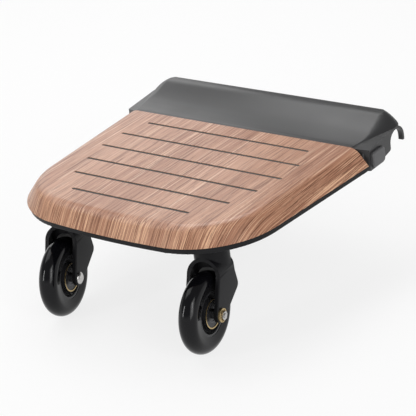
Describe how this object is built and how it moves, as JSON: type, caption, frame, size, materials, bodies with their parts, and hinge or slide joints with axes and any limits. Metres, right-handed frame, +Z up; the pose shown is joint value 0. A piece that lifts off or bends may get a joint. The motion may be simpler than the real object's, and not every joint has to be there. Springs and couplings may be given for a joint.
{
  "type": "buggy board",
  "caption": "Stroller rider board: wood-look standing deck with grip strips, swivel casters in front and a grey ramped housing whose hooks latch onto the stroller's axle tube.",
  "frame": {"origin": "on the floor, under the middle of the whole board", "axes": "+X to the rider's right, +Y towards the stroller, +Z up; the casters stand as the picture shows them"},
  "size_m": [0.3914, 0.3925, 0.1782],
  "materials": {
    "wood_look_deck": "satin wood-grain print",
    "grip_rubber": "matte",
    "tray_black": "fine matte",
    "housing_grey": "fine satin",
    "button_grey": "satin",
    "latch_acetal": "smooth",
    "steel": "bright zinc",
    "dark_steel": "black oxide",
    "yellow_zinc": "yellow zinc",
    "fork_black": "satin gloss",
    "tyre_black": "glossy",
    "hub_black": "gloss"
  },
  "bodies": {
    "board": {"deck_panel": "wood_look_deck", "grip_strips": "grip_rubber", "base_tray": "tray_black", "rear_housing": "housing_grey", "tray_screws": "steel", "cover_screws": "steel", "left_latch_cover": "tray_black", "left_latch_spring": "steel", "left_swivel_bush": "latch_acetal", "right_latch_cover": "tray_black", "right_latch_spring": "steel", "right_swivel_bush": "latch_acetal"},
    "caster_left": {"left_fork": "fork_black", "left_axle_spacers": "dark_steel", "left_axle_bolt": "steel", "left_cup_washer": "yellow_zinc", "left_axle_nut": "steel", "left_caster_stem": "steel", "left_thrust_washer": "latch_acetal", "left_stem_clip": "steel"},
    "wheel_left": {"left_tyre": "tyre_black", "left_hub": "hub_black", "left_hub_rings": "yellow_zinc", "left_wheel_bearings": "dark_steel"},
    "button_left": {"left_release_button": "button_grey"},
    "latch_left": {"left_latch_slide": "latch_acetal"},
    "caster_right": {"right_fork": "fork_black", "right_axle_spacers": "dark_steel", "right_axle_bolt": "steel", "right_cup_washer": "yellow_zinc", "right_axle_nut": "steel", "right_caster_stem": "steel", "right_thrust_washer": "latch_acetal", "right_stem_clip": "steel"},
    "wheel_right": {"right_tyre": "tyre_black", "right_hub": "hub_black", "right_hub_rings": "yellow_zinc", "right_wheel_bearings": "dark_steel"},
    "button_right": {"right_release_button": "button_grey"},
    "latch_right": {"right_latch_slide": "latch_acetal"}
  },
  "joints": [
    {"name": "left_caster_swivel", "type": "hinge", "parent": "board", "child": "caster_left", "pos_m": [-0.1126, -0.11275, 0.128], "axis": [0, 0, 1], "continuous": true},
    {"name": "left_wheel_spin", "type": "hinge", "parent": "caster_left", "child": "wheel_left", "pos_m": [-0.10478, -0.14532, 0.05], "axis": [0.9724, 0.2334, 0], "continuous": true},
    {"name": "left_button_press", "type": "slide", "parent": "board", "child": "button_left", "axis": [1, 0, 0], "range_m": [0, 0.004], "stiffness_N_per_m": 400, "springref_m": -0.004},
    {"name": "left_latch_draw", "type": "slide", "parent": "board", "child": "latch_left", "axis": [0, -1, 0], "range_m": [0, 0.006], "stiffness_N_per_m": 200, "springref_m": -0.006, "deforming": ["left_latch_spring"]},
    {"name": "right_caster_swivel", "type": "hinge", "parent": "board", "child": "caster_right", "pos_m": [0.1126, -0.11275, 0.128], "axis": [0, 0, 1], "continuous": true},
    {"name": "right_wheel_spin", "type": "hinge", "parent": "caster_right", "child": "wheel_right", "pos_m": [0.11732, -0.14592, 0.05], "axis": [0.99, 0.1409, 0], "continuous": true},
    {"name": "right_button_press", "type": "slide", "parent": "board", "child": "button_right", "axis": [-1, 0, 0], "range_m": [0, 0.004], "stiffness_N_per_m": 400, "springref_m": -0.004},
    {"name": "right_latch_draw", "type": "slide", "parent": "board", "child": "latch_right", "axis": [0, -1, 0], "range_m": [0, 0.006], "stiffness_N_per_m": 200, "springref_m": -0.006, "deforming": ["right_latch_spring"]}
  ],
  "couplings": [
    {"joint": "left_latch_draw", "follows": "left_button_press", "ratio": 1.5},
    {"joint": "right_latch_draw", "follows": "right_button_press", "ratio": 1.5}
  ]
}
